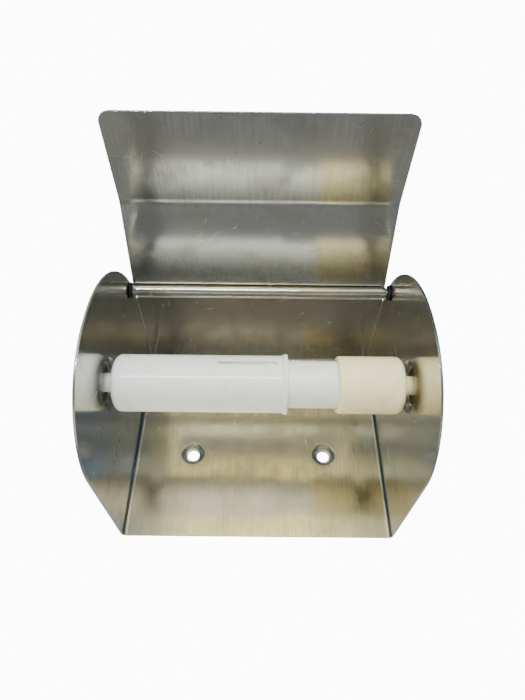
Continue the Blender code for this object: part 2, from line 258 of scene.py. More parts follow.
def about(axis: tuple[float, float], x: Array, radius: Array | float, turn: Array) -> Array:
    """Points round a line along X: y and z are the radius times cosine and sine of the turn."""
    return spread(x, axis[0] + radius * np.cos(turn), axis[1] + radius * np.sin(turn))


def turned(profile: Array, axis: tuple[float, float], steps: int, start: float = 0.0) -> Array:
    """Carries a profile round a line along X.

    Args:
        profile: Points of (x, radius), as an (n, 2) array.
        axis: The (y, z) of the line.
        steps: Number of steps in a turn.
        start: Angle of the first step, in radians.

    Returns:
        A grid of points, as an (n, steps, 3) array.
    """
    turn = start + np.linspace(0, 2 * math.pi, steps, endpoint=False)
    return about(axis, profile[:, :1], profile[:, 1:], turn)


def shell(profile: Array, axis: tuple[float, float], steps: int) -> Surface:
    """The closed surface of a profile carried round a line along X."""
    return welded(lattice(turned(profile, axis, steps), around=True))


def bevelled(piece: Object, width: float, segments: int = 2) -> None:
    """Rounds the sharp edges of a piece and keeps its broad faces flat to the light.

    Args:
        piece: The piece.
        width: Width of the rounding, in metres.
        segments: Facets across the rounding.
    """
    bevel = piece.modifiers.new("broken edges", "BEVEL")
    bevel.width = width
    bevel.segments = segments
    bevel.limit_method = "ANGLE"
    bevel.angle_limit = math.radians(50)
    weighted = piece.modifiers.new("face normals", "WEIGHTED_NORMAL")
    weighted.keep_sharp = True


def thickened(piece: Object, thickness: float) -> None:
    """Gives a middle surface its sheet thickness, half to each side."""
    solid = piece.modifiers.new("sheet", "SOLIDIFY")
    solid.thickness = thickness
    solid.offset = 0
    solid.use_even_offset = True


def settled(
    name: str,
    surface: Surface,
    material: Material,
    body: Body,
    nodes: Sequence[str],
    sheet: float = 0.0,
    edge: float = 0.0,
) -> Object:
    """Makes a piece and hands it to the frame.

    Args:
        name: The piece's name.
        surface: Its points and faces.
        material: Its material.
        body: The body it rides on.
        nodes: The solids it stands for.
        sheet: Thickness that a middle surface is given, in metres.
        edge: Rounding of its sharp edges, in metres.

    Returns:
        The piece.
    """
    piece = made_object(name, surface)
    if sheet:
        thickened(piece, sheet)
    if edge:
        bevelled(piece, edge)
    dress(piece, material)
    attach(piece, body.value)
    if nodes:
        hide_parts(*nodes)
    LOG.info("%s rides on %s, %d vertices", piece.name, body.value, len(piece.data.vertices))
    return piece


# ---- finishes


def linear(code: str, alpha: float = 1.0) -> tuple[float, float, float, float]:
    """Turns an sRGB colour into linear light.

    Args:
        code: The colour as six hexadecimal digits after a hash sign.
        alpha: Its opacity.

    Returns:
        Red, green, blue and alpha.
    """
    parts = [int(code[place : place + 2], 16) / 255 for place in (1, 3, 5)]
    low = [part / 12.92 if part <= 0.04045 else ((part + 0.055) / 1.055) ** 2.4 for part in parts]
    return low[0], low[1], low[2], alpha


def add(tree: Tree, kind: str, settings: dict[str, Any] | None = None, **links: Any) -> Node:
    """Adds one node.

    Args:
        tree: The node tree.
        kind: The node's type.
        settings: Properties of the node, by name.
        **links: Its inputs.

    Returns:
        The new node.
    """
    node = tree.nodes.new(kind)
    for name, value in (settings or {}).items():
        setattr(node, name, value)
    feed(tree, node, **links)
    return node


def feed(tree: Tree, node: Node, **links: Any) -> None:
    """Sets or links inputs of a node.

    Args:
        tree: The node tree.
        node: The node.
        **links: Inputs by socket name or _number, each a value or a socket to link from.
    """
    for name, value in links.items():
        socket = node.inputs[int(name[1:]) if name[0] == "_" else name.replace("_", " ")]
        if isinstance(value, Socket):
            tree.links.new(value, socket)
        else:
            socket.default_value = value


def ranged(
    tree: Tree, value: Socket, low: float, high: float, to_low: float = 0.0, to_high: float = 1.0
) -> Socket:
    """Carries a value from one range to another, held at both ends.

    Args:
        tree: The node tree.
        value: The value.
        low: Value that becomes to_low.
        high: Value that becomes to_high.
        to_low: First end of the new range.
        to_high: Second end of the new range.

    Returns:
        The new value.
    """
    ends = {"From_Min": low, "From_Max": high, "To_Min": to_low, "To_Max": to_high}
    return add(tree, "ShaderNodeMapRange", Value=value, **ends).outputs["Result"]


def blended(tree: Tree, share: Socket | float, first: Colour, second: Colour, kind: str = "MIX") -> Socket:
    """Mixes two colours.

    Args:
        tree: The node tree.
        share: Share of the second colour.
        first: First colour, or a socket that gives it.
        second: Second colour, or a socket that gives it.
        kind: How they are mixed.

    Returns:
        The mixed colour.
    """
    settings = {"data_type": "RGBA", "blend_type": kind}
    return add(tree, "ShaderNodeMix", settings, _0=share, _6=first, _7=second).outputs[2]


def worked(tree: Tree, operation: str, *values: Socket | float, clamp: bool = False) -> Socket:
    """Works out one sum.

    Args:
        tree: The node tree.
        operation: The kind of sum.
        *values: What it takes.
        clamp: Whether the result is held between 0 and 1.

    Returns:
        The result.
    """
    settings = {"operation": operation, "use_clamp": clamp}
    links = {f"_{place}": value for place, value in enumerate(values)}
    return add(tree, "ShaderNodeMath", settings, **links).outputs["Value"]


def noise(tree: Tree, place: Socket, size: float, detail: float, roughness: float = 0.5) -> Socket:
    """Soft noise.

    Args:
        tree: The node tree.
        place: Where it is read.
        size: Size of its features, in metres.
        detail: Number of finer layers.
        roughness: Strength of the finer layers.

    Returns:
        The noise, from 0 to 1.
    """
    settings = {"Scale": 1 / size, "Detail": detail, "Roughness": roughness}
    return add(tree, "ShaderNodeTexNoise", Vector=place, **settings).outputs["Fac"]


def bumped(
    tree: Tree,
    height: Socket,
    depth: float,
    strength: float,
    under: Socket | None = None,
    invert: bool = False,
) -> Socket:
    """Turns heights into a normal.

    Args:
        tree: The node tree.
        height: The heights, from 0 to 1.
        depth: What a height of 1 stands for, in metres.
        strength: Share of the bump that shows.
        under: The normal it is added to.
        invert: Whether heights sink instead of rising.

    Returns:
        The normal.
    """
    links = {} if under is None else {"Normal": under}
    settings = {"invert": invert}
    bump = add(tree, "ShaderNodeBump", settings, Strength=strength, Distance=depth, Height=height, **links)
    return bump.outputs["Normal"]


def blank_material(name: str) -> tuple[Material, Tree, Node, Socket]:
    """A new material with only a Principled shader and its output.

    Args:
        name: The material's name.

    Returns:
        The material, its node tree, the shader and the object coordinates.
    """
    material = bpy.data.materials.new(name)
    material.use_nodes = True
    tree = material.node_tree
    place = add(tree, "ShaderNodeTexCoord").outputs["Object"]
    return material, tree, tree.nodes["Principled BSDF"], place


def dress(piece: Object, material: Material) -> Object:
    """Gives a piece one material."""
    piece.data.materials.clear()
    piece.data.materials.append(material)
    return piece


class Grain(Enum):
    """Which way the rolling grain runs, as how little the pattern changes along X, Y and Z."""

    ALONG_Z = (1.0, 1.0, 0.015)
    ALONG_Y = (1.0, 0.015, 1.0)


@dataclass(frozen=True)
class RolledSteel:
    """Cold-rolled 2B stainless sheet: pickled and skin-passed between polished rolls.

    That leaves a greyish, slightly milky mirror with a fine grain along the rolling direction, cloudy
    handling marks, hairline scratches and a few dark specks.

    Attributes:
        name: The material's name.
        grain: Direction of the rolling grain.
        colour: Clean metal.
        tarnish: Metal under handling marks.
        roughness: Roughness of the clean metal.
        grain_width: Spacing of the grain lines, in metres; drawn coarser than the real 0.05 mm to show.
        grain_tone: Reflectance of the darkest grain lines, as a share of the clean metal's.
        cloud_size: Size of handling marks, in metres.
        speck_spacing: Spacing of dark specks, in metres.
        wave_size: Length of the sheet's gentle waves, in metres.
        wave_height: Height of those waves, in metres.
        grain_range: Noise values of the brightest and the darkest grain lines.
        grain_height: Height of the grain lines, in metres.
        roughness_spread: How far the grain carries the roughness each way.
        mark_roughness: Roughness that handling marks add.
        scratch_roughness: Roughness that scratches add.
        scratch_depth: Depth of the scratches, in metres.
        scratch_slants: Tilt of each set of scratches, in radians, and the spacing in it, in metres.
        dirt: Colour of the specks.
    """

    name: str
    grain: Grain
    colour: str = "#d0cdc6"
    tarnish: str = "#bbb7ae"
    roughness: float = 0.15
    grain_width: float = 0.7 * MM
    grain_tone: float = 0.8
    cloud_size: float = 22 * MM
    speck_spacing: float = 9 * MM
    wave_size: float = 45 * MM
    wave_height: float = 0.05 * MM
    grain_range: tuple[float, float] = (0.3, 0.7)
    grain_height: float = 0.004 * MM
    roughness_spread: float = 0.035
    mark_roughness: float = 0.09
    scratch_roughness: float = 0.25
    scratch_depth: float = 0.01 * MM
    scratch_slants: tuple[tuple[float, float], ...] = ((0.5, 9 * MM), (-0.9, 14 * MM))
    dirt: str = "#4a453c"

    def material(self) -> Material:
        """Builds the material from layers of noise in object coordinates."""
        material, tree, shader, place = blank_material(self.name)
        grain_place = add(tree, "ShaderNodeMapping", Vector=place, Scale=self.grain.value)
        grain = noise(tree, grain_place.outputs["Vector"], self.grain_width, 4.0, 0.7)
        clouds = noise(tree, place, self.cloud_size, 6.0, 0.6)
        waves = noise(tree, place, self.wave_size, 1.0)
        marks = ranged(tree, clouds, 0.48, 0.68)
        scratches = self.scratches(tree, place)
        specks = self.specks(tree, place)

        colour = blended(tree, marks, linear(self.colour), linear(self.tarnish))
        lined = ranged(tree, grain, *self.grain_range, 1.0, self.grain_tone)
        streaked = blended(tree, 1.0, colour, lined, "MULTIPLY")
        dirty = blended(tree, specks, streaked, linear(self.dirt))

        smooth, coarse = self.roughness - self.roughness_spread, self.roughness + self.roughness_spread
        rough = ranged(tree, grain, *self.grain_range, smooth, coarse)
        cloudy = worked(tree, "MULTIPLY_ADD", marks, self.mark_roughness, rough)
        scratched = worked(tree, "MULTIPLY_ADD", scratches, self.scratch_roughness, cloudy, clamp=True)

        waved = bumped(tree, waves, self.wave_height, 1.0)
        grained = bumped(tree, grain, self.grain_height, 0.35, waved)
        cut = bumped(tree, scratches, self.scratch_depth, 0.5, grained, invert=True)
        feed(tree, shader, Base_Color=dirty, Roughness=scratched, Metallic=1.0, Normal=cut)
        return material

    def scratches(self, tree: Tree, place: Socket) -> Socket:
        """Hairline scratches: thin contours of two slanted, drawn-out noises, broken up by a third.

        Args:
            tree: The node tree.
            place: Object coordinates.

        Returns:
            A socket that is 1 on a scratch and 0 elsewhere.
        """
        found = None
        for turn, spacing in self.scratch_slants:
            slant = (turn, turn * 0.7, turn)
            slanted = add(tree, "ShaderNodeMapping", Vector=place, Rotation=slant, Scale=(1, 1, 0.04))
            lines = noise(tree, slanted.outputs["Vector"], spacing, 0.0)
            near = worked(tree, "ABSOLUTE", worked(tree, "SUBTRACT", lines, 0.5))
            thin = ranged(tree, near, 0.0, 0.0035, 1.0, 0.0)
            shown = ranged(tree, noise(tree, place, spacing, 1.0), 0.6, 0.66)
            part = worked(tree, "MULTIPLY", thin, shown)
            if found is not None:
                part = worked(tree, "MAXIMUM", found, part)
            found = part
        return found

    def specks(self, tree: Tree, place: Socket) -> Socket:
        """Dark specks: small discs round scattered points, most of which are left out.

        Args:
            tree: The node tree.
            place: Object coordinates.

        Returns:
            A socket that is near 1 on a speck and 0 elsewhere.
        """
        cells = add(tree, "ShaderNodeTexVoronoi", Vector=place, Scale=1 / self.speck_spacing)
        disc = ranged(tree, cells.outputs["Distance"], 0.02, 0.05, 0.8, 0.0)
        pick = add(tree, "ShaderNodeSeparateColor", Color=cells.outputs["Color"])
        kept = worked(tree, "GREATER_THAN", pick.outputs["Red"], 0.6)
        return worked(tree, "MULTIPLY", disc, kept)


@dataclass(frozen=True)
class DrawnSteel:
    """Bright-drawn steel rod and wire: pulled through a die, which leaves faint lines along its length.

    Attributes:
        name: The material's name.
        colour: The metal's colour.
        roughness: Its roughness between the lines.
        line_width: Spacing of the drawing lines, in metres.
    """

    name: str
    colour: str = "#cfcbc2"
    roughness: float = 0.16
    line_width: float = 0.2 * MM

    def material(self) -> Material:
        """Builds the material with lines along X."""
        material, tree, shader, place = blank_material(self.name)
        along = add(tree, "ShaderNodeMapping", Vector=place, Scale=(0.02, 1, 1))
        lines = noise(tree, along.outputs["Vector"], self.line_width, 2.0)
        rough = ranged(tree, lines, 0.3, 0.7, self.roughness - 0.05, self.roughness + 0.08)
        feed(tree, shader, Base_Color=linear(self.colour), Roughness=rough, Metallic=1.0)
        return material


@dataclass(frozen=True)
class MouldedPolypropylene:
    """Injection-moulded polypropylene: glossy and milky, with faint flow marks and scuffs from use.

    Attributes:
        name: The material's name.
        colour: Colour of the plastic.
        worn: Colour where it is scuffed.
        roughness: Roughness of the moulded skin.
        milkiness: Share of the light that scatters under the skin.
        milk_depth: How far that light goes, in metres.
        scuff_size: Size of the scuffs, in metres.
        flow_size: Length of the flow marks, in metres.
        flow_height: Height of the flow marks, in metres.
    """

    name: str
    colour: str
    worn: str
    roughness: float = 0.13
    milkiness: float = 0.25
    milk_depth: float = 2 * MM
    scuff_size: float = 6 * MM
    flow_size: float = 12 * MM
    flow_height: float = 0.03 * MM

    def material(self) -> Material:
        """Builds the material from cloudy scuffs in object coordinates."""
        material, tree, shader, place = blank_material(self.name)
        scuffs = noise(tree, place, self.scuff_size, 5.0, 0.65)
        worn = ranged(tree, scuffs, 0.5, 0.75)
        colour = blended(tree, worn, linear(self.colour), linear(self.worn))
        rough = ranged(tree, scuffs, 0.35, 0.75, self.roughness, self.roughness + 0.14)
        dents = bumped(tree, noise(tree, place, self.flow_size, 1.0), self.flow_height, 1.0)
        feed(tree, shader, Base_Color=colour, Roughness=rough, Normal=dents, IOR=1.49)
        feed(tree, shader, Subsurface_Weight=self.milkiness, Subsurface_Scale=self.milk_depth)
        return material


@dataclass(frozen=True)
class BlackNylon:
    """Stamped nylon sheet: dull black with a fine tooth.

    Attributes:
        name: The material's name.
        colour: The nylon's colour.
        tooth_size: Size of the tooth, in metres.
        tooth_height: Its height, in metres.
    """

    name: str
    colour: str = "#17181a"
    tooth_size: float = 0.3 * MM
    tooth_height: float = 0.02 * MM

    def material(self) -> Material:
        """Builds the material with a fine bump."""
        material, tree, shader, place = blank_material(self.name)
        tooth = bumped(tree, noise(tree, place, self.tooth_size, 2.0), self.tooth_height, 0.4)
        feed(tree, shader, Base_Color=linear(self.colour), Roughness=0.55, Normal=tooth)
        return material


# ---- housing


@dataclass
class Housing:
    """The folded sheet: back plate, cheeks and top panel, with pressed dishes and screw dimples.

    Every size is in metres. The shape is the sheet's middle surface, which is then thickened.
    """

    sheet: float = 1.0 * MM
    half_bay: float = 65.0 * MM
    bend: float = 1.5 * MM
    nose_height: float = 47.0 * MM
    lower_radius: float = 44.0 * MM
    top_setback: float = 53.0 * MM
    seam: float = 0.2 * MM
    relief: float = 1.6 * MM
    hole_pitch: float = 70.0 * MM
    hole_radius: float = 3.1 * MM
    dimple_radius: float = 6.4 * MM
    dimple_depth: float = 2.5 * MM
    dish_radius: float = 10.15 * MM
    dish_depth: float = 3.6 * MM
    hinge_hole: float = 1.8 * MM
    hinge_reach: float = 4.0 * MM
    hinge_below: float = 3.4 * MM
    hinge_above: float = 2.8 * MM
    cell: float = 10.0 * MM
    edge: float = 0.16 * MM

    def __post_init__(self) -> None:
        """Works out the places that several patches share."""
        low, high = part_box("housing")
        self.bottom, self.top, self.nose = low.z, high.z, low.y
        self.fold = self.bend + self.sheet / 2
        self.plate_y = -self.sheet / 2
        self.cheek_x = self.half_bay + self.sheet / 2
        self.fold_x = self.cheek_x - self.fold
        self.fold_y = self.plate_y - self.fold
        self.top_fold = self.top - self.sheet / 2 - self.fold
        self.flange_x = self.fold_x - self.seam
        cell = self.cell
        middle = self.hole_pitch / 2
        near = stretch(0, middle - cell, 8)
        round_hole = stretch(middle - cell, middle + cell, 16)
        far = stretch(middle + cell, self.flange_x, 6)
        half = np.concatenate([near, round_hole, far, [self.fold_x]])
        self.columns = np.concatenate([-half[::-1], [0.0], half])
        lower, upper = stretch(self.bottom, -cell, 12), stretch(cell, self.top_fold, 16)
        self.rows = np.concatenate([[self.bottom], lower, stretch(-cell, cell, 16), upper])
        self.turns = np.linspace(0, math.pi / 2, 9)

    def plate(self) -> list[Surface]:
        """The flat back plate with its two dimples.

        A dimple sinks by its depth times a smooth step, s squared times (3 - 2 s), where s runs from 0 at
        its rim to 1 at its flat seat.

        Returns:
            The plate and the rings of both dimples.
        """
        x, z = np.meshgrid(self.columns, self.rows)
        points = spread(x, self.plate_y, z)
        parts, gaps = [], []
        seat = self.hole_radius + self.sheet
        slope = np.linspace(0, 1, 12)
        radii = np.append(self.dimple_radius + (seat - self.dimple_radius) * slope, self.hole_radius)
        depths = self.dimple_depth * np.append(slope**2 * (3 - 2 * slope), 1.0)
        for centre in (-self.hole_pitch / 2, self.hole_pitch / 2):
            left, right = self.nearest(self.columns, centre - self.cell, centre + self.cell)
            gaps.append((*self.nearest(self.rows, -self.cell, self.cell), left, right))
            rim = cell_rim(points, gaps[-1])
            turn = np.arctan2(rim[:, 2], rim[:, 0] - centre)
            x, z = centre + radii[:, None] * np.cos(turn), radii[:, None] * np.sin(turn)
            rings = spread(x, self.plate_y + depths[:, None], z)
            parts.append(lattice(np.concatenate([rim[None], rings]), around=True))
        return [lattice(points, gaps=gaps)] + parts

    def nearest(self, numbers: Array, *wanted: float) -> list[int]:
        """Places of the numbers that come nearest to those wanted."""
        return [int(np.argmin(abs(numbers - number))) for number in wanted]

    def side_fold(self, side: Side) -> Surface:
        """A quarter-round fold between the plate and a cheek, over the cheek's full height.

        Args:
            side: The cheek's side.

        Returns:
            The fold.
        """
        z, turn = np.meshgrid(np.append(self.rows, self.top), self.turns, indexing="ij")
        x = side.value * (self.fold_x + self.fold * np.sin(turn))
        y = self.plate_y - self.fold * (1 - np.cos(turn))
        return lattice(spread(x, y, z))

    def outline(self) -> Array:
        """A cheek's outline: up the fold, forward along the top, round the nose and back.

        Returns:
            Points of (y, z), as an (n, 2) array.
        """
        upper = self.top - self.bottom - self.nose_height
        rear = pairs(self.fold_y, np.append(self.rows, self.top))
        top = pairs(stretch(self.fold_y, self.nose + upper, 14), self.top)
        nose_z = self.bottom + self.nose_height
        over = arc((self.nose + upper, nose_z), upper, 90, 180, 61)[1:]
        lower = self.lower_radius
        under = arc((self.nose + lower, self.bottom + lower), lower, 180, 270, 45)
        back = pairs(stretch(self.nose + lower, self.fold_y, 16), self.bottom)
        return np.concatenate([rear, top, over, under, back[:-1]])

    def dish(self) -> Array:
        """Middle line of a dish: a rounded mouth, a wall, a rounded corner and a floor.

        Returns:
            Points of (offset, radius), as an (n, 2) array.
        """
        wall = self.dish_radius + self.sheet / 2
        mouth = arc((self.bend, wall + self.bend), self.bend, 180, 270, 9)
        corner = arc((self.dish_depth - self.bend, wall - self.bend), self.bend, 90, 0, 9)
        floor = pairs(self.dish_depth, stretch(corner[-1, 1], 0, 6))
        return np.concatenate([mouth, corner, floor])

    def cheek(self, side: Side) -> list[Surface]:
        """A cheek: straight rays from the dish's mouth to the outline, with the hinge hole and the dish.

        Args:
            side: The cheek's side.

        Returns:
            The flat, the ring round the hinge hole and the dish.
        """
        outline, dish = self.outline(), self.dish()
        centre, hinge = np.array(SPINDLE), np.array(HINGE)
        ray = outline - centre
        turn = np.arctan2(ray[:, 1], ray[:, 0])
        mouth = centre + dish[0, 1] * pairs(np.cos(turn), np.sin(turn))
        reach = np.hypot(*ray.T)
        close = abs(outline[:, 0] - hinge[0]) < self.hinge_reach
        near_hinge = np.flatnonzero(close & (outline[:, 1] > hinge[1]))
        span = reach[near_hinge].mean() - dish[0, 1]
        away = float(np.hypot(*(hinge - centre))) - dish[0, 1]
        low = (away - self.hinge_below) / span
        high = (away + self.hinge_above) / span
        share = np.concatenate([[0.0], stretch(0, low, 10), stretch(low, high, 6), stretch(high, 1, 2)])
        flat = mouth + share[:, None, None] * (outline - mouth)

        def placed(points: Array, offset: Array | float) -> Array:
            """Points of (y, z) stood on this cheek and moved outwards by an offset."""
            return spread(side.value * (self.cheek_x + offset), points[..., 0], points[..., 1])

        gap = (10, 16, int(near_hinge[0]), int(near_hinge[-1]))
        grid = placed(flat, 0.0)
        rim = cell_rim(grid, gap)
        out = rim[:, 1:] - hinge
        hole = hinge + self.hinge_hole * out / np.hypot(*out.T)[:, None]
        rings = np.stack([rim, placed(hole, 0.0)])
        mouths = centre + dish[:, 1, None, None] * pairs(np.cos(turn), np.sin(turn))
        closed = [lattice(part, around=True) for part in (rings, placed(mouths, dish[:, 0, None]))]
        return [lattice(grid, around=True, gaps=[gap])] + closed

    def top_parts(self) -> list[Surface]:
        """The fold above the plate and the top panel, whose corners are notched beside the folds.

        Returns:
            The fold, the strip between the notches and the panel.
        """
        x = self.columns[1:-1]
        wide = self.half_bay - self.seam
        turn = self.turns[:, None]
        back = self.plate_y - self.fold * (1 - np.cos(turn))
        fold = spread(x, back, self.top_fold + self.fold * np.sin(turn))
        level = self.top - self.sheet / 2
        notch_y = self.fold_y - self.relief

        def flat(across: Array, deep: Array) -> Surface:
            """A level grid at the panel's height."""
            return lattice(spread(across, deep[:, None], level))

        panel_y = np.append([notch_y], stretch(notch_y, self.nose + self.top_setback, 12))
        strip = flat(x, np.array([self.fold_y, notch_y]))
        return [lattice(fold), strip, flat(np.concatenate([[-wide], x, [wide]]), panel_y)]

    def build(self, finish: RolledSteel) -> None:
        """Welds the patches, thickens the sheet and breaks its cut edges.

        Args:
            finish: The sheet's finish.
        """
        parts = self.plate() + self.top_parts()
        for side in Side:
            parts += [self.side_fold(side)] + self.cheek(side)
        sheet, material = welded(*parts), finish.material()
        nodes = ["housing"]
        settled("folded_housing", sheet, material, Body.HOLDER, nodes, self.sheet, self.edge)


# ---- hinge and hood


@dataclass
class Hood:
    """The hood: a sheet with its rear edge curled round the pin and a shallow bend. Sizes in metres."""

    sheet: float = 0.9 * MM
    bore: float = 2.0 * MM
    curl_turn: float = 300.0
    rise: float = 14.2
    rear_length: float = 43.8 * MM
    bend_radius: float = 14.0 * MM
    bend_angle: float = 15.7
    front_length: float = 40.5 * MM
    corner: float = 5.0 * MM
    edge: float = 0.14 * MM

    def line(self) -> Array:
        """Middle line of the section in (y, z): round the pin, a flat, a shallow bend and a second flat.

        Rows crowd towards the front edge, as one less the cosine, where the corners are rounded.

        Returns:
            The points, as an (n, 2) array.
        """
        radius = self.bore + self.sheet / 2
        leave = 90 - self.rise
        curl = arc(HINGE, radius, leave - self.curl_turn, leave, 73)
        rise, fall = math.radians(self.rise), math.radians(self.bend_angle - self.rise)
        up = np.array([-math.cos(rise), math.sin(rise)])
        down = np.array([-math.cos(fall), -math.sin(fall)])
        rear = curl[-1] + stretch(0, self.rear_length, 24)[:, None] * up
        centre = rear[-1] - self.bend_radius * np.array([math.sin(rise), math.cos(rise)])
        bend = arc(tuple(centre), self.bend_radius, leave, leave + self.bend_angle, 13)
        plain = stretch(0, self.front_length - self.corner, 18)
        rounding = self.front_length - self.corner * np.cos(stretch(0, math.pi / 2, 12))
        front = bend[-1] + np.concatenate([plain, rounding])[:, None] * down
        return np.concatenate([curl, rear, bend[1:], front])

    def build(self, finish: RolledSteel) -> None:
        """Carries the line across the width, drawn in at the front corners by a quarter circle.

        Past the start of a corner, by d, the half width falls by r minus the root of r squared less d
        squared.

        Args:
            finish: The sheet's finish.
        """
        low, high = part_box("hood")
        line = self.line()
        run = np.concatenate([[0.0], np.cumsum(np.hypot(*np.diff(line, axis=0).T))])
        past = np.clip(run - run[-1] + self.corner, 0, self.corner)
        drawn_in = self.corner - np.sqrt(self.corner**2 - past**2)
        half = (high.x - low.x) / 2 - drawn_in
        across = np.linspace(-1, 1, 61)
        x = (low.x + high.x) / 2 + half[:, None] * across
        sheet = lattice(spread(x, line[:, :1], line[:, 1:]))
        material = finish.material()
        nodes = ["hood"]
        settled("curved_hood", sheet, material, Body.HOOD, nodes, self.sheet, self.edge)


@dataclass
class Hinge:
    """The hinge pin with peened heads, and the two washers. Sizes in metres."""

    pin_radius: float = 1.5 * MM
    head_overlap: float = 1.4 * MM
    washer_radius: float = 4.0 * MM
    washer_bore: float = 1.8 * MM
    head_height: float = 0.8 * MM
    edge: float = 0.12 * MM

    def pin(self, finish: DrawnSteel) -> None:
        """The rod: a straight shank between two domed heads, turned about the hinge axis.

        Args:
            finish: The rod's finish.
        """
        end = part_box("hinge_pin")[1].x
        face = end - self.head_height
        rim = self.pin_radius + self.head_overlap
        dome = np.radians(np.linspace(0, 90, 9))
        head = pairs(face + (end - face) * np.sin(dome), rim * np.cos(dome) ** 0.6)
        half = np.concatenate([[[face, self.pin_radius]], [[face, rim - 0.1 * MM]], head])
        half[-1, 1] = 0
        profile = np.concatenate([half[::-1] * [-1, 1], half])
        surface, material = shell(profile, HINGE, 48), finish.material()
        settled("hinge_rod", surface, material, Body.HOLDER, ["hinge_pin"], edge=0.1 * MM)

    def washer(self, side: Side, material: Material) -> None:
        """One washer: a flat ring with softened edges.

        Args:
            side: The washer's side.
            material: Its material.
        """
        name = f"washer_{side.name.lower()}"
        node = f"hinge_{name}"
        low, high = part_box(node)
        narrow = self.washer_radius - self.edge
        outside = [(low.x, narrow), (low.x + self.edge, self.washer_radius)]
        outside += [(high.x - self.edge, self.washer_radius), (high.x, narrow)]
        profile = np.array(outside + [(high.x, self.washer_bore), (low.x, self.washer_bore), outside[0]])
        surface = shell(profile, HINGE, 64)
        settled(name, surface, material, Body.HOLDER, [node], edge=0.05 * MM)


# ---- spindle


